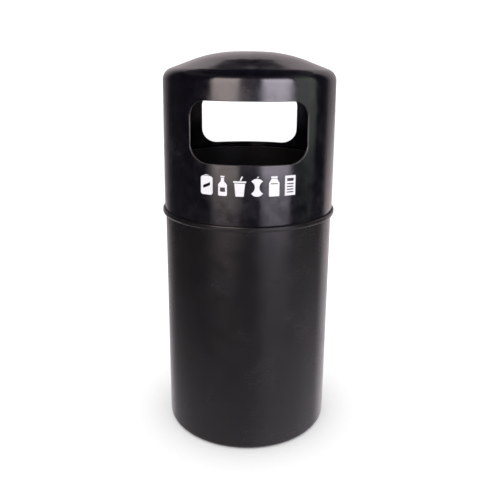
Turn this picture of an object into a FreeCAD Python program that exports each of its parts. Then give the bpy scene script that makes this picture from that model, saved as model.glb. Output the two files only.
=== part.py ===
import FreeCAD, Part
import math
import os

import Sketcher
from FreeCAD import Placement, Rotation, Vector

# Hooded litter bin: a moulded body shell, a lift-off domed hood with two opposite apertures that is
# held down by two key locks, and a lift-out liner with two wire handles.
# Millimetres. +Z is up, the axis of the bin is Z, the ground is z = 0 and the front faces -Y.
# "Level" is a height above the ground, "reach" is a distance out from the axis of the bin.

DIMENSIONS = {
    # body shell
    "body_radius": 225.0,
    "base_radius": 224.0,
    "body_wall": 5.0,
    "floor_thickness": 6.0,
    "dish_radius": 100.0,
    "dish_rise": 5.0,
    "dish_offset": 2.0,
    "base_round": 9.0,
    "inner_base_round": 8.0,
    "bead_radius": 233.0,
    "bead_underside": 597.0,
    "bead_lower_round": 5.0,
    "bead_upper_round": 3.0,
    "rim_level": 611.0,
    "lip_radius": 228.5,
    "ledge_level": 601.0,
    "liner_rib_inner": 193.0,
    "liner_rib_outer": 197.0,
    "liner_rib_rise": 8.0,
    "anchor_circle_radius": 125.0,
    "anchor_hole_radius": 7.0,
    "drain_circle_radius": 170.0,
    "drain_hole_radius": 4.0,
    # locating keys that stop the hood turning
    "key_width": 20.0,
    "key_inner": 222.9,
    "key_outer": 225.0,
    "key_rise": 7.0,
    "key_play": 0.6,
    "key_run_in": 2.0,
    # hood shell
    "hood_wall": 5.0,
    "skirt_radius": 227.5,
    "shoulder_radius": 225.5,
    "shoulder_round": 31.0,
    "dome_slope": 20.6,
    "crown_radius": 345.0,
    "crown_flat": 28.0,
    "apex_level": 1019.0,
    "aperture_half_width": 140.0,
    "aperture_bottom": 757.0,
    "aperture_top": 904.0,
    "aperture_lower_round": 44.0,
    "aperture_upper_round": 38.0,
    "edge_round": 1.5,
    # pictograms on the hood
    "film_thickness": 0.3,
    "icon_level": 708.0,
    "icon_height": 48.0,
    "icon_breadth": 64.0,
    "icon_pitch": 10.4,
    "film_margin": 4.0,
    # locks
    "lock_level": 650.0,
    "boss_radius": 22.0,
    "boss_inner": 216.0,
    "boss_outer": 224.0,
    "recess_radius": 17.0,
    "recess_floor": 222.0,
    "lock_cut_depth": 10.0,
    "flange_radius": 14.0,
    "flange_thickness": 2.5,
    "flange_round": 1.0,
    "barrel_radius": 9.0,
    "barrel_flat": 8.0,
    "barrel_length": 10.1,
    "barrel_play": 0.1,
    "key_pocket_radius": 7.0,
    "key_pocket_depth": 7.5,
    "spindle_radius": 5.0,
    "spindle_play": 0.03,
    "collar_radius": 6.5,
    "collar_thickness": 2.0,
    "triangle_side": 9.0,
    "triangle_length": 5.0,
    "square_side": 7.0,
    "square_play": 0.1,
    "end_play": 0.3,
    "washer_radius": 12.5,
    "washer_thickness": 0.8,
    "nut_across_flats": 24.0,
    "nut_thickness": 3.0,
    "cam_thickness": 3.0,
    "cam_hub_radius": 11.0,
    "cam_width": 14.0,
    "cam_reach": 42.0,
    "screw_head_radius": 4.5,
    "screw_head_height": 2.2,
    "screw_crown_radius": 2.7,
    "screw_slot_width": 1.0,
    "screw_radius": 2.0,
    "screw_length": 5.5,
    "screw_hole_depth": 6.0,
    # keepers that the cams turn under
    "keeper_angle": 10.7,
    "keeper_width": 26.0,
    "keeper_thickness": 2.5,
    "keeper_outer": 219.5,
    "keeper_lip_inner": 207.5,
    "keeper_foot": 560.0,
    "keeper_gap": 0.5,
    "keeper_bend": 1.5,
    # rivets
    "rivet_radius": 2.4,
    "rivet_play": 0.05,
    "rivet_head_radius": 4.75,
    "rivet_head_height": 1.6,
    "rivet_tail_radius": 4.0,
    "rivet_tail_land": 2.8,
    "rivet_tail_height": 1.8,
    "keeper_rivet_low": 572.0,
    "keeper_rivet_high": 588.0,
    "bracket_rivet_slack": 0.15,
    # liner
    "liner_foot_outer": 188.0,
    "liner_foot_inner": 150.0,
    "liner_foot_slope": 8.0,
    "liner_centre_rise": 16.0,
    "liner_top_radius": 200.0,
    "liner_wall": 3.5,
    "liner_rim_radius": 205.0,
    "liner_rim_level": 744.5,
    "liner_rim_drop": 11.5,
    "liner_lip_thickness": 3.0,
    "liner_base_round": 8.0,
    "liner_rim_round": 2.0,
    "liner_drain_circle": 80.0,
    # liner handles
    "wire_radius": 2.5,
    "wire_bend": 9.0,
    "handle_pivot_reach": 179.0,
    "handle_pivot_level": 712.0,
    "handle_half_span": 47.0,
    "handle_half_length": 66.0,
    "handle_drop": 62.0,
    "eye_reach": 60.0,
    "eye_thickness": 4.0,
    "eye_radius": 6.0,
    "eye_root": 6.2,
    "eye_play": 0.05,
    "bracket_width": 20.0,
    "bracket_height": 32.0,
    "bracket_thickness": 1.5,
    "bracket_corner": 3.3,
    "bracket_gap": 0.6,
    "bracket_rivet_rise": 11.0,
}

KEY_COUNT = 2
ANCHOR_COUNT = 4
DRAIN_COUNT = 4
DRAIN_AZIMUTH = 45.0
FULL_TURN = 360.0
NEAR = 0.05
# Keeps the radius of a half circle from falling short of half its chord.
ARC_SLACK = 0.001


class Size(float):
    """A number that remembers the sheet expression it was worked out from."""

    def __new__(cls, value, text):
        size = float.__new__(cls, value)
        size.text = text
        return size

    def __add__(self, other):
        return Size(float(self) + float(other), f"({self.text} + {text_of(other)})")

    def __radd__(self, other):
        return Size(float(other) + float(self), f"({text_of(other)} + {self.text})")

    def __sub__(self, other):
        return Size(float(self) - float(other), f"({self.text} - {text_of(other)})")

    def __rsub__(self, other):
        return Size(float(other) - float(self), f"({text_of(other)} - {self.text})")

    def __mul__(self, other):
        return Size(float(self) * float(other), f"({self.text} * {text_of(other)})")

    def __rmul__(self, other):
        return Size(float(other) * float(self), f"({text_of(other)} * {self.text})")

    def __truediv__(self, other):
        return Size(float(self) / float(other), f"({self.text} / {text_of(other)})")

    def __neg__(self):
        return Size(-float(self), f"(0 - {self.text})")


def text_of(number):
    return number.text if isinstance(number, Size) else repr(float(number))


def sine(degrees):
    return Size(math.sin(math.radians(degrees)), f"sin({text_of(degrees)} * 1 deg)")


def cosine(degrees):
    return Size(math.cos(math.radians(degrees)), f"cos({text_of(degrees)} * 1 deg)")


def root(number):
    return Size(math.sqrt(number), f"sqrt({text_of(number)})")


class Sizes:
    """The driving dimensions, read back from the sheet as Size values."""

    def __init__(self, sheet):
        for alias in DIMENSIONS:
            setattr(self, alias, Size(sheet.get(alias), f"Sizes.{alias}"))


def make_sheet(doc):
    sheet = doc.addObject("Spreadsheet::Sheet", "Sizes")
    for row, (alias, value) in enumerate(DIMENSIONS.items(), start=1):
        sheet.set(f"A{row}", alias)
        sheet.set(f"B{row}", str(value))
        sheet.setAlias(f"B{row}", alias)
    doc.recompute()
    return sheet


doc = FreeCAD.newDocument("LitterBin")
size = Sizes(make_sheet(doc))
nodes = []


# ---------------------------------------------------------------- drawing and feature helpers


def bind(thing, path, number):
    """Tie one property to the sheet, or set it where the number is a plain one."""
    if isinstance(number, Size):
        thing.setExpression(path, number.text)
    else:
        setattr(thing, path, number)


def new_body(label):
    return doc.addObject("PartDesign::Body", label)


def new_sketch(body, name, role, offset=0.0, turn=0.0):
    """Sketch on an origin plane of the body, moved along the plane's normal and turned about its V axis."""
    plane = next(item for item in body.Origin.OriginFeatures if item.Role == role)
    sketch = body.newObject("Sketcher::SketchObject", name)
    sketch.AttachmentSupport = [(plane, "")]
    sketch.MapMode = "FlatFace"
    sketch.AttachmentOffset = Placement(Vector(0, 0, float(offset)), Rotation(Vector(0, 1, 0), float(turn)))
    if isinstance(offset, Size):
        sketch.setExpression("AttachmentOffset.Base.z", offset.text)
    return sketch


def pin_point(sketch, edge, end, across, up):
    """Hold one point of a sketch at (across, up) from the sketch's origin."""
    for kind, axis, value in (("DistanceX", -2, across), ("DistanceY", -1, up)):
        if float(value) == 0.0:
            sketch.addConstraint(Sketcher.Constraint("PointOnObject", edge, end, axis))
            continue
        index = sketch.addConstraint(Sketcher.Constraint(kind, -1, 1, edge, end, float(value)))
        if isinstance(value, Size):
            sketch.setExpression(f"Constraints[{index}]", value.text)


def arc_between(first, last, radius, left):
    """Arc of less than half a turn from first to last, turning left or right."""
    chord = last - first
    half = chord.Length / 2
    side = Vector(-chord.y, chord.x, 0).normalize() * math.sqrt(float(radius) ** 2 - half**2)
    centre = (first + last) / 2 + (side if left else -side)
    circle = Part.Circle(centre, Vector(0, 0, 1), float(radius))
    start, finish = (first, last) if left else (last, first)
    start_angle = math.atan2(start.y - centre.y, start.x - centre.x)
    finish_angle = math.atan2(finish.y - centre.y, finish.x - centre.x)
    return Part.ArcOfCircle(circle, start_angle, finish_angle)


def draw_outline(sketch, corners, bends=None, closed=True):
    """Run of edges through the corners. bends gives the radius of an arc by the index of the corner that
    it starts from: positive turns left and negative turns right."""
    bends = bends or {}
    ends = []
    count = len(corners) if closed else len(corners) - 1
    for index in range(count):
        first = Vector(float(corners[index][0]), float(corners[index][1]), 0)
        following = corners[(index + 1) % len(corners)]
        last = Vector(float(following[0]), float(following[1]), 0)
        if index in bends:
            radius = bends[index]
            left = float(radius) > 0
            edge = sketch.addGeometry(arc_between(first, last, abs(float(radius)), left), False)
            reach = radius if left else -radius
            held = sketch.addConstraint(Sketcher.Constraint("Radius", edge, float(reach)))
            if isinstance(reach, Size):
                sketch.setExpression(f"Constraints[{held}]", reach.text)
            ends.append((edge, 1, 2) if left else (edge, 2, 1))
        else:
            edge = sketch.addGeometry(Part.LineSegment(first, last), False)
            ends.append((edge, 1, 2))
        pin_point(sketch, edge, ends[-1][1], *corners[index])
    for index in range(count):
        edge, _, finish = ends[index]
        if closed or index + 1 < count:
            following, start, _ = ends[(index + 1) % count]
            sketch.addConstraint(Sketcher.Constraint("Coincident", edge, finish, following, start))
        else:
            pin_point(sketch, edge, finish, *corners[-1])


def draw_circle(sketch, across, up, radius):
    centre = Vector(float(across), float(up), 0)
    edge = sketch.addGeometry(Part.Circle(centre, Vector(0, 0, 1), float(radius)), False)
    pin_point(sketch, edge, 3, across, up)
    held = sketch.addConstraint(Sketcher.Constraint("Radius", edge, float(radius)))
    if isinstance(radius, Size):
        sketch.setExpression(f"Constraints[{held}]", radius.text)


def draw_box(sketch, left, right, low, high):
    draw_outline(sketch, [(left, low), (right, low), (right, high), (left, high)])


def rounded_box(half_width, low, high, lower_round, upper_round):
    """Corners and bends of a box with rounded corners, centred on the V axis."""
    lower = half_width - lower_round
    upper = half_width - upper_round
    corners = [
        (-lower, low), (lower, low), (half_width, low + lower_round), (half_width, high - upper_round),
        (upper, high), (-upper, high), (-half_width, high - upper_round), (-half_width, low + lower_round),
    ]
    return corners, {1: lower_round, 3: upper_round, 5: upper_round, 7: lower_round}


def rebuilt(feature, grows=None):
    """Recompute, and stop where a feature failed or changed the volume the wrong way."""
    doc.recompute()
    if "Invalid" in feature.State or "Error" in feature.State or feature.Shape.isNull():
        raise RuntimeError(f"{feature.Label} failed: {feature.State}")
    base = getattr(feature, "BaseFeature", None)
    if grows is not None and base is not None:
        change = feature.Shape.Volume - base.Shape.Volume
        if (change > 0) != grows:
            raise RuntimeError(f"{feature.Label} changed the volume by {change:.1f}")
    return feature


def revolve(body, sketch):
    feature = body.newObject("PartDesign::Revolution", f"{sketch.Name}_turned")
    feature.Profile = sketch
    feature.ReferenceAxis = (sketch, ["V_Axis"])
    feature.Angle = FULL_TURN
    return rebuilt(feature, grows=True)


def pad(body, sketch, length, both_ways=False, backward=False):
    feature = body.newObject("PartDesign::Pad", f"{sketch.Name}_pad")
    feature.Profile = sketch
    bind(feature, "Length", length)
    feature.SideType = "Symmetric" if both_ways else "One side"
    feature.Reversed = backward
    return rebuilt(feature, grows=True)


def pocket(body, sketch, length=None, both_ways=False, backward=False):
    """Cut a sketch out of the body. No length cuts all the way through."""
    feature = body.newObject("PartDesign::Pocket", f"{sketch.Name}_pocket")
    feature.Profile = sketch
    feature.SideType = "Symmetric" if both_ways else "One side"
    feature.Reversed = backward
    if length is None:
        feature.Type = "ThroughAll"
    else:
        bind(feature, "Length", length)
    return rebuilt(feature, grows=False)


def repeat_around(body, feature, count):
    """Repeat a feature evenly around the body's Z axis."""
    pattern = body.newObject("PartDesign::PolarPattern", f"{feature.Name}_around")
    pattern.Originals = [feature]
    pattern.Axis = (feature.Profile[0], ["N_Axis"])
    pattern.Angle = FULL_TURN
    pattern.Occurrences = count
    body.Tip = pattern
    return rebuilt(pattern)


def round_edges(body, radius, chosen, name):
    """Fillet the edges of the body's latest feature for which chosen(edge) holds."""
    base = body.Tip
    names = [f"Edge{index}" for index, edge in enumerate(base.Shape.Edges, start=1) if chosen(edge)]
    if not names:
        raise RuntimeError(f"{name}: no edge to round")
    feature = body.newObject("PartDesign::Fillet", name)
    feature.Base = (base, names)
    bind(feature, "Radius", radius)
    return rebuilt(feature)


def is_ring(reach, level):
    """Test for a circular edge about the Z axis, of a given reach and level."""

    def test(edge):
        if not isinstance(edge.Curve, Part.Circle):
            return False
        centre = edge.Curve.Center
        near = abs(edge.Curve.Radius - float(reach)) < NEAR and abs(centre.z - float(level)) < NEAR
        return near and math.hypot(centre.x, centre.y) < NEAR

    return test


def keep(thing, label, placement=None):
    """Name a finished sub-part and put it in its place."""
    thing.Label = label
    thing.Placement = placement or Placement()
    nodes.append(thing)
    return thing


def group(label, members):
    """Identical pieces that share one node, as separate solids."""
    compound = doc.addObject("Part::Compound", label)
    compound.Links = members
    doc.recompute()
    return keep(compound, label)


def facing_out(azimuth, reach, level):
    """Placement that turns a piece's own +Z outward at the azimuth, and its own +X downward."""
    turn = Rotation(Vector(0, 0, 1), float(azimuth)) * Rotation(Vector(0, 1, 0), 90)
    angle = math.radians(float(azimuth))
    return Placement(Vector(reach * math.cos(angle), reach * math.sin(angle), float(level)), turn)


# The locks, keepers and handles stand on the +X and -X sides: azimuth of each, and its sense along X.
SIDES = {"right": 0.0, "left": 180.0}
OUTWARD = {"right": 1.0, "left": -1.0}


# ---------------------------------------------------------------- body shell


def make_body_shell():
    body = new_body("body_shell")
    inner_top = size.body_radius - size.body_wall
    inner_base = size.base_radius - size.body_wall
    dish_edge = size.dish_radius + size.dish_rise
    floor = size.floor_thickness
    rib_top = floor + size.liner_rib_rise
    profile = new_sketch(body, "body_profile", "XZ_Plane")
    draw_outline(profile, [
        (0.0, size.dish_rise),
        (size.dish_radius, size.dish_rise),
        (dish_edge, 0.0),
        (size.base_radius, 0.0),
        (size.body_radius, size.bead_underside),
        (size.bead_radius, size.bead_underside),
        (size.bead_radius, size.rim_level),
        (size.lip_radius, size.rim_level),
        (size.lip_radius, size.ledge_level),
        (inner_top, size.ledge_level),
        (inner_base, floor),
        (size.liner_rib_outer, floor),
        (size.liner_rib_outer, rib_top),
        (size.liner_rib_inner, rib_top),
        (size.liner_rib_inner, floor),
        (dish_edge + size.dish_offset, floor),
        (size.dish_radius + size.dish_offset, floor + size.dish_rise),
        (0.0, floor + size.dish_rise),
    ])
    revolve(body, profile)
    round_edges(body, size.base_round, is_ring(size.base_radius, 0.0), "base_edge")
    round_edges(body, size.inner_base_round, is_ring(inner_base, floor), "inner_base_edge")
    bead_underside = is_ring(size.bead_radius, size.bead_underside)
    round_edges(body, size.bead_lower_round, bead_underside, "bead_lower_edge")
    round_edges(body, size.bead_upper_round, is_ring(size.bead_radius, size.rim_level), "bead_upper_edge")
    round_edges(body, size.edge_round, is_ring(size.body_radius, size.bead_underside), "bead_root")
    round_edges(body, size.edge_round / 2, is_ring(size.lip_radius, size.rim_level), "lip_edge")
    round_edges(body, size.edge_round, is_ring(inner_top, size.ledge_level), "ledge_edge")

    key = new_sketch(body, "locating_key", "XY_Plane", size.ledge_level)
    draw_box(key, -size.key_width / 2, size.key_width / 2, -size.key_outer, -size.key_inner)
    repeat_around(body, pad(body, key, size.key_rise), KEY_COUNT)

    anchor = new_sketch(body, "anchor_hole", "XY_Plane")
    draw_circle(anchor, size.anchor_circle_radius, 0.0, size.anchor_hole_radius)
    repeat_around(body, pocket(body, anchor, both_ways=True), ANCHOR_COUNT)

    drain = new_sketch(body, "drain_hole", "XY_Plane")
    across = size.drain_circle_radius * cosine(DRAIN_AZIMUTH)
    up = size.drain_circle_radius * sine(DRAIN_AZIMUTH)
    draw_circle(drain, across, up, size.drain_hole_radius)
    repeat_around(body, pocket(body, drain, both_ways=True), DRAIN_COUNT)

    hole_radius = size.rivet_radius + size.rivet_play
    for side, out in OUTWARD.items():
        holes = new_sketch(body, f"keeper_rivet_holes_{side}", "YZ_Plane", turn=out * size.keeper_angle)
        draw_circle(holes, 0.0, size.keeper_rivet_low, hole_radius)
        draw_circle(holes, 0.0, size.keeper_rivet_high, hole_radius)
        pocket(body, holes, size.bead_radius, backward=out > 0)
    return keep(body, "body_shell")


# ---------------------------------------------------------------- hood shell


def hood_reach(level):
    """Outer radius of the hood's tapering side at a level."""
    height = shoulder_corner_level() - size.ledge_level
    taper = (size.skirt_radius - size.shoulder_radius) / height
    return size.skirt_radius - taper * (level - size.ledge_level)


def crown_edge():
    """Reach and level where the arc of the crown meets the straight slope of the dome."""
    reach = size.crown_flat + size.crown_radius * sine(size.dome_slope)
    level = size.apex_level - size.crown_radius + size.crown_radius * cosine(size.dome_slope)
    return reach, level


def shoulder_corner_level():
    """Level where the dome's slope, carried on, would meet the side of the hood."""
    reach, level = crown_edge()
    return level - (size.shoulder_radius - reach) * sine(size.dome_slope) / cosine(size.dome_slope)


def is_aperture_edge(edge):
    """Test for the long edges around the apertures, on both faces of the wall."""
    box = edge.BoundBox
    within = box.ZMin > size.aperture_bottom - 1 and box.ZMax < size.aperture_top + 1
    return within and edge.Length > 2 * size.hood_wall


def make_hood_shell():
    body = new_body("hood_shell")
    crown_reach, crown_level = crown_edge()
    profile = new_sketch(body, "hood_profile", "XZ_Plane")
    draw_outline(profile, [
        (0.0, size.ledge_level),
        (size.skirt_radius, size.ledge_level),
        (size.shoulder_radius, shoulder_corner_level()),
        (crown_reach, crown_level),
        (size.crown_flat, size.apex_level),
        (0.0, size.apex_level),
    ], bends={3: size.crown_radius})
    revolve(body, profile)
    round_edges(body, size.shoulder_round, is_ring(size.shoulder_radius, shoulder_corner_level()), "shoulder")

    solid = body.Tip
    underside = [f"Face{index}" for index, face in enumerate(solid.Shape.Faces, start=1)
                 if face.CenterOfMass.z < size.ledge_level + NEAR]
    shell = body.newObject("PartDesign::Thickness", "hood_hollow")
    shell.Base = (solid, underside)
    bind(shell, "Value", size.hood_wall)
    shell.Reversed = True
    rebuilt(shell)

    opening = new_sketch(body, "aperture", "XZ_Plane")
    corners, bends = rounded_box(size.aperture_half_width, size.aperture_bottom, size.aperture_top,
                                 size.aperture_lower_round, size.aperture_upper_round)
    draw_outline(opening, corners, bends)
    pocket(body, opening, both_ways=True)
    round_edges(body, size.edge_round, is_aperture_edge, "aperture_edges")

    for side, out in OUTWARD.items():
        boss = new_sketch(body, f"lock_boss_{side}", "YZ_Plane", size.boss_inner * out)
        draw_circle(boss, 0.0, size.lock_level, size.boss_radius)
        pad(body, boss, size.boss_outer - size.boss_inner, backward=out < 0)
    for side, out in OUTWARD.items():
        recess = new_sketch(body, f"lock_recess_{side}", "YZ_Plane", size.recess_floor * out)
        draw_circle(recess, 0.0, size.lock_level, size.recess_radius)
        pocket(body, recess, size.lock_cut_depth, backward=out > 0)
        barrel_hole = new_sketch(body, f"lock_hole_{side}", "YZ_Plane", size.boss_inner * out)
        corners, bends = flatted_circle(size.barrel_radius + size.barrel_play,
                                        size.barrel_flat + size.barrel_play, size.lock_level)
        draw_outline(barrel_hole, corners, bends)
        pocket(body, barrel_hole, size.lock_cut_depth, backward=out > 0)

    half_notch = size.key_width / 2 + size.key_play
    for name, facing in (("front", -1), ("rear", 1)):
        notch = new_sketch(body, f"key_notch_{name}", "XY_Plane", size.ledge_level)
        near = (size.key_inner - size.key_run_in) * facing
        far = (size.key_outer + size.key_play) * facing
        draw_box(notch, -half_notch, half_notch, min(near, far), max(near, far))
        pocket(body, notch, size.key_rise + size.key_play, backward=True)
    return keep(body, "hood_shell")


def flatted_circle(radius, flat, level=0.0):
    """Corners and bends of a circle with a flat on two sides, centred at a height on the V axis."""
    rise = root(radius * radius - flat * flat)
    corners = [(flat, level - rise), (flat, level + rise), (-flat, level + rise), (-flat, level - rise)]
    return corners, {1: radius, 3: radius}


# ---------------------------------------------------------------- pictograms

# Each pictogram is a few outlines measured from its middle, in units of the icon breadth across and of the
# icon height up. An outline that lies inside another is a hole.


def bar(left, right, low, high):
    return [(left, low), (right, low), (right, high), (left, high)], {}


def can_outlines():
    tin = [(-0.19, -0.5), (0.19, -0.5), (0.25, -0.42), (0.25, 0.36),
           (0.17, 0.44), (-0.17, 0.44), (-0.25, 0.36), (-0.25, -0.42)]
    band = [(-0.15, -0.2), (0.15, -0.02), (0.15, 0.14), (-0.15, -0.04)]
    return [(tin, {}), (band, {}), bar(-0.09, 0.09, 0.465, 0.5)]


def bottle_outlines():
    glass = [(-0.13, -0.5), (0.13, -0.5), (0.17, -0.46), (0.17, 0.06), (0.06, 0.24),
             (0.06, 0.4), (-0.06, 0.4), (-0.06, 0.24), (-0.17, 0.06), (-0.17, -0.46)]
    return [(glass, {}), bar(-0.1, 0.1, -0.3, -0.08), bar(-0.075, 0.075, 0.43, 0.5)]


def cup_outlines():
    cup = [(-0.15, -0.5), (0.15, -0.5), (0.2, 0.15), (-0.2, 0.15)]
    straw = [(0.0, 0.3), (0.055, 0.3), (0.125, 0.5), (0.07, 0.5)]
    return [(cup, {}), bar(-0.24, 0.24, 0.185, 0.265), (straw, {})]


def core_outlines():
    apple = [(-0.15, -0.44), (0.15, -0.44), (0.22, -0.34), (0.22, 0.26),
             (0.15, 0.34), (-0.15, 0.34), (-0.22, 0.26), (-0.22, -0.34)]
    stalk = [(-0.025, 0.42), (0.025, 0.42), (0.07, 0.5), (0.02, 0.5)]
    return [(apple, {0: 0.4, 2: -0.34, 4: 0.4, 6: -0.34}), (stalk, {})]


def carton_outlines():
    box = [(-0.2, -0.5), (0.2, -0.5), (0.2, 0.17), (0.11, 0.37), (-0.11, 0.37), (-0.2, 0.17)]
    return [(box, {}), bar(-0.13, 0.13, 0.11, 0.155), bar(-0.12, 0.12, 0.4, 0.5)]


def paper_outlines():
    sheet = bar(-0.22, 0.22, -0.5, 0.5)
    lines = [bar(-0.14, 0.14, low, low + 0.055) for low in (-0.36, -0.22, -0.08, 0.06)]
    return [sheet, *lines, bar(-0.14, 0.14, 0.22, 0.37)]


ICONS = {
    "can": can_outlines,
    "bottle": bottle_outlines,
    "cup": cup_outlines,
    "core": core_outlines,
    "carton": carton_outlines,
    "paper": paper_outlines,
}


def make_film():
    """Ring of film that follows the tapering side of the hood over the pictograms' height."""
    low = size.icon_level - size.icon_height / 2 - size.film_margin
    rise = size.icon_height + 2 * size.film_margin
    cones = []
    for name, extra in (("film_outside", size.film_thickness), ("film_inside", 0.0)):
        cone = doc.addObject("Part::Cone", name)
        bind(cone, "Radius1", hood_reach(low) + extra)
        bind(cone, "Radius2", hood_reach(low + rise) + extra)
        bind(cone, "Height", rise)
        cone.setExpression("Placement.Base.z", low.text)
        cones.append(cone)
    film = doc.addObject("Part::Cut", "film")
    film.Base, film.Tool = cones
    return rebuilt(film)


def make_pictograms():
    film = make_film()
    stickers = []
    for place, (name, outlines) in enumerate(ICONS.items()):
        sketch = doc.addObject("Sketcher::SketchObject", f"{name}_outline")
        sketch.Placement = Placement(Vector(0, 0, 0), Rotation(Vector(1, 0, 0), 90))
        for corners, bends in outlines():
            placed = [(x * size.icon_breadth if x else 0.0, size.icon_level + y * size.icon_height)
                      for x, y in corners]
            draw_outline(sketch, placed, {start: bend * size.icon_height for start, bend in bends.items()})
        block = doc.addObject("Part::Extrusion", f"{name}_block")
        block.Base = sketch
        block.DirMode = "Custom"
        block.Dir = Vector(0, -1, 0)
        bind(block, "LengthFwd", size.bead_radius)
        block.Solid = True
        rebuilt(block)
        sticker = doc.addObject("Part::MultiCommon", f"{name}_sticker")
        sticker.Shapes = [block, film]
        turn = (place - (len(ICONS) - 1) / 2) * float(size.icon_pitch)
        sticker.Placement = Placement(Vector(0, 0, 0), Rotation(Vector(0, 0, 1), turn))
        stickers.append(rebuilt(sticker))
    group("pictograms_front", stickers)
    rear = doc.addObject("Part::Compound", "pictograms_rear")
    rear.Links = stickers
    doc.recompute()
    keep(rear, "pictograms_rear", Placement(Vector(0, 0, 0), Rotation(Vector(0, 0, 1), 180)))


# ---------------------------------------------------------------- locks


def regular_corners(count, radius, first_turn=0.0):
    """Corners of a regular figure about the origin."""
    turns = [first_turn + step * FULL_TURN / count for step in range(count)]
    return [(radius * cosine(turn), radius * sine(turn)) for turn in turns]


# Lock pieces are drawn about their own Z axis, which points out of the bin. Their origin is on the floor
# of the hood's recess, and their +X points down.


def lock_placement(azimuth):
    return facing_out(azimuth, size.recess_floor, size.lock_level)


def make_lock_housing(side, azimuth):
    body = new_body(f"lock_housing_{side}")
    flange = new_sketch(body, f"flange_{side}", "XY_Plane")
    draw_circle(flange, 0.0, 0.0, size.flange_radius)
    pad(body, flange, size.flange_thickness)
    flange_edge = is_ring(size.flange_radius, size.flange_thickness)
    round_edges(body, size.flange_round, flange_edge, f"flange_edge_{side}")
    barrel = new_sketch(body, f"barrel_{side}", "XY_Plane")
    corners, bends = flatted_circle(size.barrel_radius, size.barrel_flat)
    draw_outline(barrel, [(up, -across) for across, up in corners], bends)
    pad(body, barrel, size.barrel_length, backward=True)
    mouth = new_sketch(body, f"key_mouth_{side}", "XY_Plane", size.flange_thickness)
    draw_circle(mouth, 0.0, 0.0, size.key_pocket_radius)
    pocket(body, mouth, size.key_pocket_depth)
    bore = new_sketch(body, f"spindle_bore_{side}", "XY_Plane")
    draw_circle(bore, 0.0, 0.0, size.spindle_radius + size.spindle_play)
    pocket(body, bore, both_ways=True)
    return keep(body, f"lock_housing_{side}", lock_placement(azimuth))


def make_lock_washer(side, azimuth):
    body = new_body(f"lock_washer_{side}")
    face = new_sketch(body, f"washer_{side}", "XY_Plane", size.boss_inner - size.recess_floor)
    draw_circle(face, 0.0, 0.0, size.washer_radius)
    draw_circle(face, 0.0, 0.0, size.barrel_radius + size.barrel_play)
    pad(body, face, size.washer_thickness, backward=True)
    return keep(body, f"lock_washer_{side}", lock_placement(azimuth))


def make_lock_nut(side, azimuth):
    body = new_body(f"lock_nut_{side}")
    top = size.boss_inner - size.recess_floor - size.washer_thickness
    face = new_sketch(body, f"nut_{side}", "XY_Plane", top)
    draw_outline(face, regular_corners(6, size.nut_across_flats / (2 * cosine(30.0)), 30.0))
    draw_circle(face, 0.0, 0.0, size.barrel_radius + size.barrel_play / 2)
    pad(body, face, size.nut_thickness, backward=True)
    return keep(body, f"lock_nut_{side}", lock_placement(azimuth))


def make_lock_spindle(side, azimuth):
    body = new_body(f"lock_spindle_{side}")
    shaft_end = -size.barrel_length
    collar_seat = size.flange_thickness - size.key_pocket_depth + size.barrel_play
    collar_top = collar_seat + size.collar_thickness
    shaft = new_sketch(body, f"shaft_{side}", "XY_Plane", collar_seat)
    draw_circle(shaft, 0.0, 0.0, size.spindle_radius)
    pad(body, shaft, collar_seat - shaft_end, backward=True)
    collar = new_sketch(body, f"collar_{side}", "XY_Plane", collar_seat)
    draw_circle(collar, 0.0, 0.0, size.collar_radius)
    pad(body, collar, size.collar_thickness)
    head = new_sketch(body, f"triangle_{side}", "XY_Plane", collar_top)
    draw_outline(head, regular_corners(3, size.triangle_side / (2 * cosine(30.0))))
    pad(body, head, size.triangle_length)
    square = new_sketch(body, f"cam_square_{side}", "XY_Plane", shaft_end)
    half = size.square_side / 2
    draw_box(square, -half, half, -half, half)
    pad(body, square, size.end_play + size.cam_thickness - size.square_play, backward=True)
    tapping = new_sketch(body, f"cam_screw_hole_{side}", "XY_Plane", cam_inner_level())
    draw_circle(tapping, 0.0, 0.0, size.screw_radius + size.rivet_play)
    pocket(body, tapping, size.screw_hole_depth, backward=True)
    return keep(body, f"lock_spindle_{side}", lock_placement(azimuth))


def cam_inner_level():
    """Level of the cam's inner face in the lock's own frame."""
    return -size.barrel_length - size.end_play - size.cam_thickness


def make_lock_cam(side, azimuth):
    """Flat lever that points down when the lock is open."""
    body = new_body(f"lock_cam_{side}")
    hub = new_sketch(body, f"cam_hub_{side}", "XY_Plane", cam_inner_level())
    draw_circle(hub, 0.0, 0.0, size.cam_hub_radius)
    pad(body, hub, size.cam_thickness)
    arm = new_sketch(body, f"cam_arm_{side}", "XY_Plane", cam_inner_level())
    draw_box(arm, 0.0, size.cam_reach, -size.cam_width / 2, size.cam_width / 2)
    pad(body, arm, size.cam_thickness)

    def is_tip_corner(edge):
        box = edge.BoundBox
        return box.XMin > size.cam_reach - NEAR and box.ZLength > size.cam_thickness - NEAR

    round_edges(body, size.cam_width / 4, is_tip_corner, f"cam_tip_{side}")
    hole = new_sketch(body, f"cam_hole_{side}", "XY_Plane", cam_inner_level())
    half = size.square_side / 2 + size.square_play
    draw_box(hole, -half, half, -half, half)
    pocket(body, hole, both_ways=True)
    return keep(body, f"lock_cam_{side}", lock_placement(azimuth))


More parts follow.
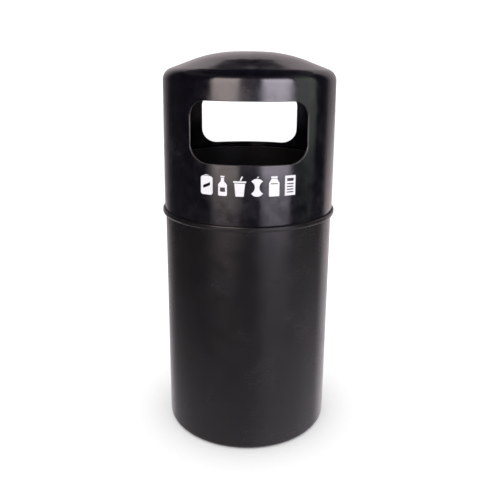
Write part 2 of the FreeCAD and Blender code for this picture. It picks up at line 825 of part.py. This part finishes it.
def make_cam_screw(side, azimuth):
    body = new_body(f"cam_screw_{side}")
    profile = new_sketch(body, f"cam_screw_profile_{side}", "XZ_Plane")
    seat = cam_inner_level()
    head = seat - size.screw_head_height
    draw_outline(profile, [
        (0.0, head),
        (size.screw_crown_radius, head),
        (size.screw_head_radius, head + size.screw_head_height / 2),
        (size.screw_head_radius, seat),
        (size.screw_radius, seat),
        (size.screw_radius, seat + size.screw_length),
        (0.0, seat + size.screw_length),
    ])
    revolve(body, profile)
    slot = new_sketch(body, f"screw_slot_{side}", "XY_Plane", head)
    half_slot = size.screw_slot_width / 2
    draw_box(slot, -size.screw_head_radius, size.screw_head_radius, -half_slot, half_slot)
    pocket(body, slot, size.screw_head_height / 2, backward=True)
    return keep(body, f"cam_screw_{side}", lock_placement(azimuth))


# ---------------------------------------------------------------- keepers and rivets


def make_keeper(side, azimuth):
    """Angle plate riveted inside the body, whose top lip reaches over the tip of the turned cam."""
    body = new_body(f"keeper_{side}")
    inner = size.keeper_outer - size.keeper_thickness
    lip_underside = size.lock_level + size.cam_width / 2 + size.keeper_gap
    top = lip_underside + size.keeper_thickness
    profile = new_sketch(body, f"keeper_profile_{side}", "XZ_Plane")
    draw_outline(profile, [
        (inner, size.keeper_foot),
        (size.keeper_outer, size.keeper_foot),
        (size.keeper_outer, top),
        (size.keeper_lip_inner, top),
        (size.keeper_lip_inner, lip_underside),
        (inner, lip_underside),
    ])
    pad(body, profile, size.keeper_width, both_ways=True)

    def is_outer_bend(edge):
        box = edge.BoundBox
        along = box.YLength > size.keeper_width - NEAR
        return along and abs(box.XMin - size.keeper_outer) < NEAR and abs(box.ZMin - top) < NEAR

    round_edges(body, size.keeper_bend + size.keeper_thickness / 2, is_outer_bend, f"keeper_bend_{side}")
    holes = new_sketch(body, f"keeper_holes_{side}", "YZ_Plane")
    for level in (size.keeper_rivet_low, size.keeper_rivet_high):
        draw_circle(holes, 0.0, level, size.rivet_radius + size.rivet_play)
    pocket(body, holes, size.body_radius, backward=True)
    turn = Placement(Vector(0, 0, 0), Rotation(Vector(0, 0, 1), keeper_azimuth(side, azimuth)))
    return keep(body, f"keeper_{side}", turn)


def keeper_azimuth(side, azimuth):
    """Both keepers stand on the rear side of their locks."""
    return azimuth + OUTWARD[side] * float(size.keeper_angle)


def make_rivet(name, grip, placement):
    """Domed rivet about its own Z axis: the head is outward, and the tail is set against the inner face."""
    body = new_body(name)
    dome_top = grip + size.rivet_head_height
    dome_radius = (size.rivet_head_radius * size.rivet_head_radius
                   + size.rivet_head_height * size.rivet_head_height) / (2 * size.rivet_head_height)
    profile = new_sketch(body, f"{name}_profile", "XZ_Plane")
    draw_outline(profile, [
        (0.0, -size.rivet_tail_height),
        (size.rivet_tail_land, -size.rivet_tail_height),
        (size.rivet_tail_radius, -size.rivet_tail_height / 2),
        (size.rivet_tail_radius, 0.0),
        (size.rivet_radius, 0.0),
        (size.rivet_radius, grip),
        (size.rivet_head_radius, grip),
        (0.0, dome_top),
    ], bends={6: dome_radius})
    revolve(body, profile)
    body.Placement = placement
    return body


def make_keeper_rivets():
    inner_face = size.keeper_outer - size.keeper_thickness
    rivets = []
    for side, azimuth in SIDES.items():
        for place, level in (("low", size.keeper_rivet_low), ("high", size.keeper_rivet_high)):
            placement = facing_out(keeper_azimuth(side, azimuth), inner_face, level)
            grip = size.body_radius - inner_face
            rivets.append(make_rivet(f"keeper_rivet_{side}_{place}", grip, placement))
    group("keeper_rivets", rivets)


# ---------------------------------------------------------------- liner


def liner_inner_reach(level):
    """Inner radius of the liner's tapering wall at a level."""
    taper = (size.liner_top_radius - size.liner_foot_outer) / (size.liner_rim_level - size.floor_thickness)
    return size.liner_foot_outer - size.liner_wall + taper * (level - size.floor_thickness)


def make_liner_shell():
    body = new_body("liner_shell")
    foot = size.floor_thickness
    wall = size.liner_wall
    centre = foot + size.liner_centre_rise
    lip_inner = size.liner_rim_radius - size.liner_lip_thickness
    lip_underside = size.liner_rim_level - size.liner_lip_thickness
    slope_end = size.liner_foot_inner - size.liner_foot_slope
    profile = new_sketch(body, "liner_profile", "XZ_Plane")
    draw_outline(profile, [
        (0.0, centre),
        (slope_end, centre),
        (size.liner_foot_inner, foot),
        (size.liner_foot_outer, foot),
        (size.liner_top_radius, lip_underside),
        (lip_inner, lip_underside),
        (lip_inner, size.liner_rim_level - size.liner_rim_drop),
        (size.liner_rim_radius, size.liner_rim_level - size.liner_rim_drop),
        (size.liner_rim_radius, size.liner_rim_level),
        (size.liner_top_radius - wall, size.liner_rim_level),
        (size.liner_foot_outer - wall, foot + wall),
        (size.liner_foot_inner + wall / 2, foot + wall),
        (slope_end + wall / 2, centre + wall),
        (0.0, centre + wall),
    ])
    revolve(body, profile)
    round_edges(body, size.liner_base_round, is_ring(size.liner_foot_outer, foot), "liner_foot")
    inner_foot = is_ring(size.liner_foot_outer - wall, foot + wall)
    round_edges(body, size.liner_base_round - wall, inner_foot, "liner_inner_foot")
    round_edges(body, size.liner_rim_round, is_ring(size.liner_rim_radius, size.liner_rim_level), "liner_rim")
    inner_rim = is_ring(size.liner_top_radius - wall, size.liner_rim_level)
    round_edges(body, size.liner_rim_round / 2, inner_rim, "liner_inner_rim")

    drain = new_sketch(body, "liner_drain", "XY_Plane")
    draw_circle(drain, size.liner_drain_circle, 0.0, size.drain_hole_radius)
    repeat_around(body, pocket(body, drain, both_ways=True), DRAIN_COUNT)

    hole_radius = size.rivet_radius + size.rivet_play
    for place, azimuth in enumerate(bracket_azimuths()):
        holes = new_sketch(body, f"bracket_holes_{place}", "YZ_Plane", turn=azimuth)
        for offset in (-size.bracket_rivet_rise, size.bracket_rivet_rise):
            draw_circle(holes, 0.0, size.handle_pivot_level + offset, hole_radius)
        pocket(body, holes, size.body_radius, backward=True)
    return keep(body, "liner_shell")


# ---------------------------------------------------------------- liner handles


def bracket_azimuths():
    """The two brackets of a handle stand either side of its middle, on the right and then on the left."""
    swing = math.degrees(math.asin(size.eye_reach / liner_inner_reach(size.handle_pivot_level)))
    return [-swing, swing, 180.0 - swing, 180.0 + swing]


def bracket_face():
    """Reach of a bracket's outer face, which stays just inside the curved wall."""
    return liner_inner_reach(size.handle_pivot_level) - size.bracket_gap


def make_handle_brackets():
    """Plates riveted inside the liner, each with an eye that holds one end of a wire handle."""
    brackets = []
    for place, azimuth in enumerate(bracket_azimuths()):
        mirrored = 1.0 if abs(azimuth) < 90.0 else -1.0
        end = 1.0 if math.sin(math.radians(azimuth)) > 0 else -1.0
        plate = new_body(f"bracket_plate_{place}")
        outline = new_sketch(plate, f"bracket_outline_{place}", "YZ_Plane",
                             bracket_face() - size.bracket_thickness)
        half = size.bracket_width / 2
        level = size.handle_pivot_level
        rise = size.bracket_height / 2
        corner = size.bracket_corner
        corners, bends = rounded_box(half, level - rise, level + rise, corner, corner)
        draw_outline(outline, corners, bends)
        for offset in (-size.bracket_rivet_rise, size.bracket_rivet_rise):
            draw_circle(outline, 0.0, level + offset, size.rivet_radius + size.rivet_play)
        pad(plate, outline, size.bracket_thickness)
        plate.Placement = Placement(Vector(0, 0, 0), Rotation(Vector(0, 0, 1), azimuth))

        eye = new_body(f"bracket_eye_{place}")
        lug_start = -end * (size.eye_reach + size.eye_thickness / 2)
        lug = new_sketch(eye, f"eye_outline_{place}", "XZ_Plane", lug_start)
        pivot = size.handle_pivot_reach
        # The root of the lug stops inside the plate, which slants across it.
        root_reach = pivot + size.eye_root
        draw_outline(lug, [
            (mirrored * pivot, level - size.eye_radius),
            (mirrored * root_reach, level - size.eye_radius),
            (mirrored * root_reach, level + size.eye_radius),
            (mirrored * pivot, level + size.eye_radius),
        ], bends={3: mirrored * (size.eye_radius + ARC_SLACK)})
        draw_circle(lug, mirrored * pivot, level, size.wire_radius + size.eye_play)
        pad(eye, lug, size.eye_thickness, backward=end < 0)

        bracket = doc.addObject("Part::MultiFuse", f"bracket_{place}")
        bracket.Shapes = [plate, eye]
        brackets.append(rebuilt(bracket))
    group("handle_brackets", brackets)


def make_bracket_rivets():
    inner_face = bracket_face() - size.bracket_thickness
    rivets = []
    for place, azimuth in enumerate(bracket_azimuths()):
        for row, offset in enumerate((-size.bracket_rivet_rise, size.bracket_rivet_rise)):
            level = size.handle_pivot_level + offset
            grip = liner_inner_reach(level) + size.liner_wall + size.bracket_rivet_slack - inner_face
            placement = facing_out(azimuth, inner_face, level)
            rivets.append(make_rivet(f"bracket_rivet_{place}_{row}", grip, placement))
    group("bracket_rivets", rivets)


def make_liner_handle(side, azimuth):
    """Wire bail that hangs inside the liner, its turned-out ends held in the bracket eyes."""
    body = new_body(f"liner_handle_{side}")
    bend = size.wire_bend
    half = size.handle_half_span
    end = size.handle_half_length
    drop = -size.handle_drop
    path = new_sketch(body, f"handle_path_{side}", "YZ_Plane")
    draw_outline(path, [
        (-end, 0.0),
        (-half - bend, 0.0),
        (-half, -bend),
        (-half, drop + bend),
        (-half + bend, drop),
        (half - bend, drop),
        (half, drop + bend),
        (half, -bend),
        (half + bend, 0.0),
        (end, 0.0),
    ], bends={1: -bend, 3: bend, 5: bend, 7: -bend}, closed=False)
    section = new_sketch(body, f"handle_section_{side}", "XZ_Plane", end)
    draw_circle(section, 0.0, 0.0, size.wire_radius)
    wire = body.newObject("PartDesign::AdditivePipe", f"handle_wire_{side}")
    wire.Profile = section
    wire.Spine = path
    rebuilt(wire)
    placement = Placement(Vector(size.handle_pivot_reach * math.cos(math.radians(azimuth)), 0,
                                 float(size.handle_pivot_level)), Rotation(Vector(0, 0, 1), azimuth))
    return keep(body, f"liner_handle_{side}", placement)


# ---------------------------------------------------------------- build and write


def check_nodes():
    doc.recompute()
    for item in doc.Objects:
        if "Invalid" in item.State or "Error" in item.State:
            raise RuntimeError(f"{item.Label} is {item.State}")
    for node in nodes:
        shape = node.Shape
        if shape.isNull() or not shape.isValid() or not shape.Solids:
            raise RuntimeError(f"{node.Label} has no valid solid")


def write_nodes():
    os.makedirs("parts", exist_ok=True)
    for node in nodes:
        node.Shape.exportStep(f"parts/{node.Label}.step")


make_body_shell()
make_hood_shell()
make_pictograms()
for side, azimuth in SIDES.items():
    make_lock_housing(side, azimuth)
    make_lock_washer(side, azimuth)
    make_lock_nut(side, azimuth)
    make_lock_spindle(side, azimuth)
    make_lock_cam(side, azimuth)
    make_cam_screw(side, azimuth)
    make_keeper(side, azimuth)
make_keeper_rivets()
make_liner_shell()
make_handle_brackets()
make_bracket_rivets()
for side, azimuth in SIDES.items():
    make_liner_handle(side, azimuth)
check_nodes()
write_nodes()
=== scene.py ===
import math

import bpy
from mathutils import Matrix, Vector


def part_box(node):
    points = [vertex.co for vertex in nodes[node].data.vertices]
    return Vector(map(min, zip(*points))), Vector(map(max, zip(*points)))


# Hooded litter bin in black moulded plastic, in a plain white studio. Metres, +Z up, front towards -Y.

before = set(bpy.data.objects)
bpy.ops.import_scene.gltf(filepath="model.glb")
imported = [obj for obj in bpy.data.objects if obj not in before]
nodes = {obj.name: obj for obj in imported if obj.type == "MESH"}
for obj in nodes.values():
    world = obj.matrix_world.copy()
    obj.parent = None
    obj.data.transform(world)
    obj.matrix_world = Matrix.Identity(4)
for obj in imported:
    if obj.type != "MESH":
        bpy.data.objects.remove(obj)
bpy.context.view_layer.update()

HOOD_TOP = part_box("hood_shell")[1].z
SHOULDER_START = HOOD_TOP - 0.085
SHOULDER_END = HOOD_TOP - 0.05
DUST_TOP = 0.45

FLOOR_REACH = 12.0
SURROUNDINGS_STRENGTH = 1.25
UNLIT_STRENGTH = 0.045
OVERHEAD_PLACE = (0.0, -0.4, 3.4)
OVERHEAD_SIZE = 4.5
OVERHEAD_RADIANCE = 0.5

CAMERA_PLACE = (0.0043, -1.56, 0.9865)
CAMERA_DOWN = 13.9
CAMERA_ROLL = 0.577
CAMERA_LENS = 41.85
CAMERA_SENSOR = 36.0
CAMERA_SHIFT = -0.0837


# ---------------------------------------------------------------- node helpers

# A Mix node has a pair of inputs and an output for each kind of data. These are the ones for colours.
MIX_FIRST_COLOUR = 6
MIX_SECOND_COLOUR = 7
MIX_COLOUR = 2


class Shading:
    """Short ways to build a procedural node tree."""

    def __init__(self, tree, coordinates):
        self.tree = tree
        self.coordinates = self.tree.nodes.new("ShaderNodeTexCoord").outputs[coordinates]

    def node(self, kind, **settings):
        node = self.tree.nodes.new(kind)
        for name, value in settings.items():
            setattr(node, name, value)
        return node

    def link(self, source, target):
        self.tree.links.new(source, target)

    def fill(self, socket, value):
        """Link an output to a socket, or set it to a constant."""
        if isinstance(value, tuple):
            socket.default_value = (*value, 1.0)
        elif isinstance(value, (int, float)):
            socket.default_value = value
        else:
            self.link(value, socket)

    def axis(self, letter):
        """One component of the coordinates."""
        node = self.node("ShaderNodeSeparateXYZ")
        self.link(self.coordinates, node.inputs["Vector"])
        return node.outputs[letter]

    def spread(self, source, start, end, low=0.0, high=1.0, smooth=False):
        """Map source from start..end to low..high, clamped."""
        kind = "SMOOTHSTEP" if smooth else "LINEAR"
        node = self.node("ShaderNodeMapRange", clamp=True, interpolation_type=kind)
        node.inputs["From Min"].default_value = start
        node.inputs["From Max"].default_value = end
        node.inputs["To Min"].default_value = low
        node.inputs["To Max"].default_value = high
        self.link(source, node.inputs["Value"])
        return node.outputs["Result"]

    def contrast(self, noise, low=0.0, high=1.0):
        """Map the range where most of a noise lies to low..high."""
        return self.spread(noise, 0.35, 0.7, low, high)

    def math(self, operation, *terms):
        node = self.node("ShaderNodeMath", operation=operation)
        for socket, term in zip(node.inputs, terms):
            self.fill(socket, term)
        return node.outputs["Value"]

    def product(self, first, *others):
        for other in others:
            first = self.math("MULTIPLY", first, other)
        return first

    def total(self, first, *others):
        for other in others:
            first = self.math("ADD", first, other)
        return first

    def profile(self, source, stops):
        """Value of a run of (position, value) stops, joined by straight lines."""
        first, last = stops[0][0], stops[-1][0]
        ramp = self.node("ShaderNodeValToRGB")
        points = ramp.color_ramp.elements
        while len(points) < len(stops):
            points.new(1.0)
        for point, (position, value) in zip(points, stops):
            point.position = (position - first) / (last - first)
            point.color = (value, value, value, 1.0)
        self.link(self.spread(source, first, last), ramp.inputs["Fac"])
        return ramp.outputs["Color"]

    def mixed(self, amount, first, second):
        """Colour that goes from first to second with amount."""
        node = self.node("ShaderNodeMix", data_type="RGBA")
        self.fill(node.inputs["Factor"], amount)
        self.fill(node.inputs[MIX_FIRST_COLOUR], first)
        self.fill(node.inputs[MIX_SECOND_COLOUR], second)
        return node.outputs[MIX_COLOUR]

    def stretched(self, scale, turn=(0.0, 0.0, 0.0)):
        """Coordinates, stretched and turned."""
        mapping = self.node("ShaderNodeMapping")
        mapping.inputs["Scale"].default_value = scale
        mapping.inputs["Rotation"].default_value = turn
        self.link(self.coordinates, mapping.inputs["Vector"])
        return mapping.outputs["Vector"]

    def noise(self, scale, detail=2.0, roughness=0.5, distortion=0.0, vector=None):
        node = self.node("ShaderNodeTexNoise")
        node.inputs["Scale"].default_value = scale
        node.inputs["Detail"].default_value = detail
        node.inputs["Roughness"].default_value = roughness
        node.inputs["Distortion"].default_value = distortion
        self.link(vector or self.coordinates, node.inputs["Vector"])
        return node.outputs["Fac"]

    def cells(self, scale, feature="DISTANCE_TO_EDGE", vector=None):
        node = self.node("ShaderNodeTexVoronoi", feature=feature)
        node.inputs["Scale"].default_value = scale
        self.link(vector or self.coordinates, node.inputs["Vector"])
        return node.outputs["Distance"]


class Material(Shading):
    """A Principled material whose detail comes from the object's own coordinates."""

    def __init__(self, name):
        self.material = bpy.data.materials.new(name)
        self.material.use_nodes = True
        super().__init__(self.material.node_tree, "Object")
        self.shader = self.tree.nodes["Principled BSDF"]

    def edges(self, radius):
        """1 on sharp edges and 0 on flats."""
        bevel = self.node("ShaderNodeBevel", samples=4)
        bevel.inputs["Radius"].default_value = radius
        geometry = self.node("ShaderNodeNewGeometry")
        agreement = self.node("ShaderNodeVectorMath", operation="DOT_PRODUCT")
        self.link(bevel.outputs["Normal"], agreement.inputs[0])
        self.link(geometry.outputs["Normal"], agreement.inputs[1])
        return self.spread(agreement.outputs["Value"], 0.995, 0.9)

    def bump(self, *layers):
        """Stack bumps given as (height, distance in metres, strength)."""
        normal = None
        for height, distance, strength in layers:
            node = self.node("ShaderNodeBump")
            node.inputs["Distance"].default_value = distance
            node.inputs["Strength"].default_value = strength
            self.link(height, node.inputs["Height"])
            if normal is not None:
                self.link(normal, node.inputs["Normal"])
            normal = node.outputs["Normal"]
        self.link(normal, self.shader.inputs["Normal"])

    def set(self, **inputs):
        for name, value in inputs.items():
            self.fill(self.shader.inputs[name.replace("_", " ")], value)


# ---------------------------------------------------------------- materials


def gloss_black_plastic():
    """Polished black moulding: faint smears, haze, fine hairlines and a slightly wavy surface."""
    deep, clouded = (0.0014, 0.0014, 0.0034), (0.0028, 0.0026, 0.0056)
    scratched, hazed = (0.05, 0.05, 0.055), (0.0075, 0.0062, 0.0066)
    made = Material("hood_gloss_black")
    smears = made.noise(9.0, 4.0, 0.6, 0.8, made.stretched((1.0, 1.0, 0.55)))
    clouds = made.noise(38.0, 3.0, 0.55)
    cell_edges = made.cells(150.0, vector=made.stretched((1.0, 1.0, 0.12), (0.5, 0.2, 0.0)))
    hairlines = made.product(made.spread(cell_edges, 0.012, 0.0), made.spread(smears, 0.5, 0.7))
    haze = made.product(made.spread(smears, 0.45, 0.65), made.spread(clouds, 0.4, 0.65))

    colour = made.mixed(made.contrast(clouds), deep, clouded)
    colour = made.mixed(made.product(hairlines, 0.35), colour, scratched)
    colour = made.mixed(made.product(haze, 0.5), colour, hazed)

    # Hands reach the sides more than the dome, so the dome keeps more of its polish.
    dulled = made.spread(made.axis("Z"), SHOULDER_START, SHOULDER_END, 1.0, 0.5)
    gloss = made.total(made.contrast(smears, 0.09, 0.21), made.contrast(clouds, 0.0, 0.11))
    roughness = made.product(made.total(gloss, made.product(hairlines, 0.2)), dulled)
    made.set(Base_Color=colour, Roughness=roughness, IOR=1.5)

    waves = made.noise(7.0, 2.0, 0.5)
    ripples = made.noise(26.0, 2.0, 0.5, 0.0, made.stretched((1.0, 1.0, 0.7)))
    grain = made.noise(420.0, 2.0, 0.5)
    made.bump((waves, 0.006, 0.2), (ripples, 0.0012, 0.16), (grain, 0.0002, 0.15))
    return made.material


def satin_black_plastic():
    """Body moulding: satin charcoal with brown and lilac smudges, fine drag marks, scuffs and low dust."""
    clean, brown, lilac = (0.0022, 0.0018, 0.0024), (0.0058, 0.0044, 0.0044), (0.0046, 0.0040, 0.0062)
    dragged, dusty, scuffed = (0.0078, 0.0070, 0.0080), (0.0136, 0.0122, 0.0138), (0.030, 0.029, 0.031)
    made = Material("body_satin_black")
    mottle = made.noise(14.0, 5.0, 0.6, 0.4)
    patches = made.noise(3.2, 2.0, 0.5, 0.6)
    smudges = made.noise(9.0, 3.0, 0.55, 0.3, made.stretched((1.0, 1.0, 1.3), (0.2, 0.5, 0.1)))
    drags = made.noise(34.0, 3.0, 0.65, 0.2, made.stretched((1.0, 1.0, 9.0)))
    dust = made.product(made.spread(made.axis("Z"), DUST_TOP, 0.0), made.spread(patches, 0.3, 0.75, 0.3, 1.0))
    scuffs = made.noise(130.0, 4.0, 0.7, 0.3, made.stretched((1.0, 1.0, 0.2), (0.3, 0.1, 0.0)))
    scuffs = made.product(made.spread(scuffs, 0.62, 0.74), made.spread(mottle, 0.45, 0.65))

    smudged = made.mixed(made.spread(smudges, 0.42, 0.6), brown, lilac)
    colour = made.mixed(made.contrast(mottle), clean, smudged)
    colour = made.mixed(made.spread(drags, 0.4, 0.7, 0.0, 0.35), colour, dragged)
    colour = made.mixed(made.product(dust, 0.5), colour, dusty)
    colour = made.mixed(made.product(scuffs, 0.3), colour, scuffed)
    roughness = made.total(made.spread(mottle, 0.3, 0.75, 0.18, 0.27), made.contrast(patches, 0.0, 0.05),
                           made.spread(drags, 0.4, 0.7, 0.0, 0.02))
    made.set(Base_Color=colour, Roughness=roughness, IOR=1.42)
    made.bump((made.noise(5.0, 2.0), 0.004, 0.12), (made.noise(900.0, 3.0, 0.6), 0.00025, 0.25))
    return made.material


def liner_black_plastic():
    """Liner moulding: matt black with grimy stains and vertical rubs."""
    clean, stained, rubbed = (0.0018, 0.0018, 0.0019), (0.0055, 0.0050, 0.0045), (0.014, 0.0135, 0.013)
    made = Material("liner_matt_black")
    stains = made.noise(11.0, 5.0, 0.65, 1.2)
    rubs = made.noise(45.0, 3.0, 0.6, 0.0, made.stretched((1.0, 1.0, 0.06)))
    colour = made.mixed(made.spread(stains, 0.4, 0.7), clean, stained)
    colour = made.mixed(made.spread(rubs, 0.6, 0.75, 0.0, 0.25), colour, rubbed)
    made.set(Base_Color=colour, Roughness=made.spread(stains, 0.3, 0.7, 0.42, 0.6), IOR=1.3)
    made.bump((made.noise(700.0, 2.0), 0.0003, 0.3))
    return made.material


def white_film():
    """White self-adhesive film with a faint lilac cast, slightly soiled."""
    clean, soiled = (0.74, 0.72, 0.76), (0.60, 0.58, 0.62)
    made = Material("pictogram_white_film")
    soil = made.noise(85.0, 4.0, 0.65)
    colour = made.mixed(made.spread(soil, 0.5, 0.8), clean, soiled)
    made.set(Base_Color=colour, Roughness=made.spread(soil, 0.3, 0.7, 0.30, 0.42), IOR=1.45)
    made.bump((made.noise(1300.0, 1.0), 0.0001, 0.2))
    return made.material


def plated_steel(name, tint, roughness, streak_scale):
    """Plated metal: crystalline mottling, brushed streaks and bright worn edges."""
    dull = tuple(channel * 0.68 for channel in tint)
    bright = tuple(channel * 1.25 for channel in tint)
    made = Material(name)
    crystals = made.spread(made.cells(160.0, "F1"), 0.1, 0.7)
    streaks = made.noise(streak_scale, 3.0, 0.6, 0.0, made.stretched((1.0, 0.08, 1.0)))
    colour = made.mixed(made.edges(0.0006), made.mixed(crystals, tint, dull), bright)
    shine = made.total(made.contrast(streaks, roughness, roughness + 0.14), made.product(crystals, 0.08))
    made.set(Base_Color=colour, Roughness=shine, Metallic=1.0)
    made.bump((streaks, 0.0002, 0.25))
    return made.material


def finish_nodes():
    """Give every CAD node its material."""
    zinc = plated_steel("zinc_plated_steel", (0.58, 0.58, 0.57), 0.30, 300.0)
    chrome = plated_steel("satin_chrome", (0.66, 0.66, 0.67), 0.16, 500.0)
    aluminium = plated_steel("rivet_aluminium", (0.74, 0.74, 0.75), 0.34, 400.0)
    finishes = {
        "hood_shell": gloss_black_plastic(),
        "body_shell": satin_black_plastic(),
        "liner_shell": liner_black_plastic(),
        "pictograms": white_film(),
        "lock_housing": chrome,
        "lock_spindle": chrome,
        "keeper_rivets": aluminium,
        "bracket_rivets": aluminium,
        "liner_handle": plated_steel("galvanised_wire", (0.52, 0.53, 0.54), 0.36, 260.0),
    }
    for name, thing in nodes.items():
        finish = next((made for start, made in finishes.items() if name.startswith(start)), zinc)
        thing.data.materials.clear()
        thing.data.materials.append(finish)


# ---------------------------------------------------------------- studio


def pale_floor():
    """Large plain pale floor that stays out of the gloss."""
    made = Material("pale_floor")
    made.set(Base_Color=made.mixed(made.noise(1.3, 3.0), (0.93, 0.93, 0.93), (0.95, 0.95, 0.95)))
    made.set(Roughness=0.6, Specular_IOR_Level=0.2)
    mesh = bpy.data.meshes.new("floor")
    corners = [(x * FLOOR_REACH, y * FLOOR_REACH, 0.0) for x, y in ((-1, -1), (1, -1), (1, 1), (-1, 1))]
    mesh.from_pydata(corners, [], [(0, 1, 2, 3)])
    mesh.materials.append(made.material)
    floor = bpy.data.objects.new("floor", mesh)
    floor.visible_glossy = False
    bpy.context.scene.collection.objects.link(floor)


def overhead_light():
    """Large square light overhead that brightens the floor and stays out of the gloss."""
    light = bpy.data.lights.new("overhead", "AREA")
    light.shape = "SQUARE"
    light.size = OVERHEAD_SIZE
    light.energy = OVERHEAD_RADIANCE * math.pi * OVERHEAD_SIZE**2
    thing = bpy.data.objects.new("overhead", light)
    thing.location = OVERHEAD_PLACE
    thing.visible_camera = False
    thing.visible_glossy = False
    bpy.context.scene.collection.objects.link(thing)


def band(sky, turn, start, end, soft):
    """1 between two azimuths, fading out over soft degrees across each edge."""
    half = soft / 2
    rising = sky.spread(turn, start - half, start + half, smooth=True)
    falling = sky.spread(turn, end + half, end - half, smooth=True)
    return sky.product(rising, falling)


def windows(sky, turn, rise):
    """Two tall windows in front, the dim gap between them and a low one to the right."""
    tall = sky.profile(rise, [(-20, 0.0), (-16, 0.03), (-14, 0.07), (-12, 0.18), (-9, 0.62), (-3, 0.86),
                              (1, 1.0), (24, 1.0), (31, 0.25), (40, 0.0)])
    shorter = sky.profile(rise, [(-22, 0.0), (-17, 0.06), (-14, 0.12), (-12, 0.18), (-9, 0.62), (-3, 0.88),
                                 (1, 1.0), (20, 1.0), (27, 0.3), (38, 0.0)])
    low = sky.profile(rise, [(-12, 0.0), (-4, 0.95), (20, 1.0), (30, 0.5), (45, 0.0)])
    return sky.total(
        sky.product(band(sky, turn, -49.0, -13.0, 9.0), tall, 7.0),
        sky.product(band(sky, turn, 16.5, 56.0, 9.0), shorter, 10.2),
        sky.product(band(sky, turn, -10.0, 13.0, 12.0), tall, 0.75),
        sky.product(band(sky, turn, 62.0, 94.0, 7.0), low, 1.15),
    )


def walls(sky, turn, rise, rear):
    """Pale wall behind, brighter low down and highest straight behind, with the dim ceiling over it."""
    droop = sky.profile(rear, [(150, 0.5), (168, 5.5), (180, 0.5)])
    below_top = sky.spread(sky.total(rise, droop), 40.3, 40.9, 1.0, 0.0)
    right = sky.product(sky.spread(turn, 116.0, 134.0, smooth=True), below_top,
                        sky.profile(rise, [(-40, 0.5), (-26, 0.9), (-13, 1.1), (-4, 0.52), (40, 0.66)]))
    left = sky.product(sky.spread(turn, -122.0, -160.0, smooth=True), below_top,
                       sky.profile(rise, [(-40, 0.4), (-20, 0.75), (-10, 0.55), (0, 0.45), (15, 0.65),
                                          (40, 0.72)]))
    ceiling = sky.product(sky.spread(rear, 178.0, 169.0),
                          sky.profile(rise, [(34, 0.0), (40, 0.12), (50, 0.12), (55, 0.0)]))
    return sky.total(right, left, ceiling)


def ground(sky, turn, rise):
    """Floor as the gloss sees it, brighter close by, with a lighter area to the right."""
    near = sky.profile(rise, [(-44, 0.75), (-36, 0.62), (-32, 0.45), (-29, 0.28), (-23, 0.14), (-17, 0.07),
                              (-12, 0.0)])
    lighter = sky.profile(rise, [(-50, 0.25), (-34, 0.4), (-26, 0.5), (-20, 0.3), (-14, 0.0)])
    return sky.total(near, sky.product(band(sky, turn, 22.0, 112.0, 36.0), lighter))


def room_tint(sky, turn, rise, rear):
    """Warm to the left, lilac to the right, greenish in the low window and neutral near the ground."""
    tint = sky.mixed(sky.spread(turn, -20.0, 15.0), (1.0, 0.86, 0.83), (0.95, 0.87, 1.0))
    tint = sky.mixed(band(sky, turn, 62.0, 100.0, 6.0), tint, (0.93, 1.0, 0.90))
    tint = sky.mixed(sky.spread(rear, 105.0, 125.0), tint, (1.0, 0.88, 0.91))
    return sky.mixed(sky.spread(rise, -12.0, -25.0), tint, (1.0, 0.93, 0.98))


def room_reflection(sky):
    """Brightness and tint of the studio as the gloss sees it, by azimuth and elevation in degrees.

    Azimuth is 0 in front of the bin, positive to the right and 180 behind."""
    right, back, up = (sky.axis(letter) for letter in "XYZ")
    turn = sky.math("DEGREES", sky.math("ARCTAN2", right, sky.product(back, -1.0)))
    rise = sky.math("DEGREES", sky.math("ARCSINE", up))
    rear = sky.math("ABSOLUTE", turn)
    strength = sky.total(windows(sky, turn, rise), walls(sky, turn, rise, rear), ground(sky, turn, rise),
                         UNLIT_STRENGTH)
    return strength, room_tint(sky, turn, rise, rear)


def studio_world():
    """Plain white surroundings for the view and for diffuse light. The gloss reflects the darker studio."""
    world = bpy.data.worlds.new("studio")
    world.use_nodes = True
    world.cycles.sampling_method = "NONE"
    world.node_tree.nodes.clear()
    sky = Shading(world.node_tree, "Generated")
    strength, tint = room_reflection(sky)
    room = sky.node("ShaderNodeBackground")
    sky.fill(room.inputs["Color"], tint)
    sky.fill(room.inputs["Strength"], strength)
    white = sky.node("ShaderNodeBackground")
    sky.fill(white.inputs["Color"], (1.0, 1.0, 1.0))
    sky.fill(white.inputs["Strength"], SURROUNDINGS_STRENGTH)
    path = sky.node("ShaderNodeLightPath")
    chosen = sky.node("ShaderNodeMixShader")
    sky.link(path.outputs["Is Glossy Ray"], chosen.inputs["Fac"])
    sky.link(white.outputs["Background"], chosen.inputs[1])
    sky.link(room.outputs["Background"], chosen.inputs[2])
    sky.link(chosen.outputs["Shader"], sky.node("ShaderNodeOutputWorld").inputs["Surface"])
    bpy.context.scene.world = world


def place_camera():
    """Camera in front, a little above the hood's shoulder, tilted down and rolled slightly."""
    camera = bpy.data.cameras.new("camera")
    camera.lens = CAMERA_LENS
    camera.sensor_width = CAMERA_SENSOR
    camera.shift_y = CAMERA_SHIFT
    thing = bpy.data.objects.new("camera", camera)
    tilt = Matrix.Rotation(math.radians(90.0 - CAMERA_DOWN), 4, "X")
    roll = Matrix.Rotation(math.radians(CAMERA_ROLL), 4, "Z")
    thing.matrix_world = Matrix.Translation(Vector(CAMERA_PLACE)) @ tilt @ roll
    bpy.context.scene.collection.objects.link(thing)
    bpy.context.scene.camera = thing


place_camera()
studio_world()
overhead_light()
pale_floor()
finish_nodes()
bpy.context.scene.view_settings.view_transform = "Standard"
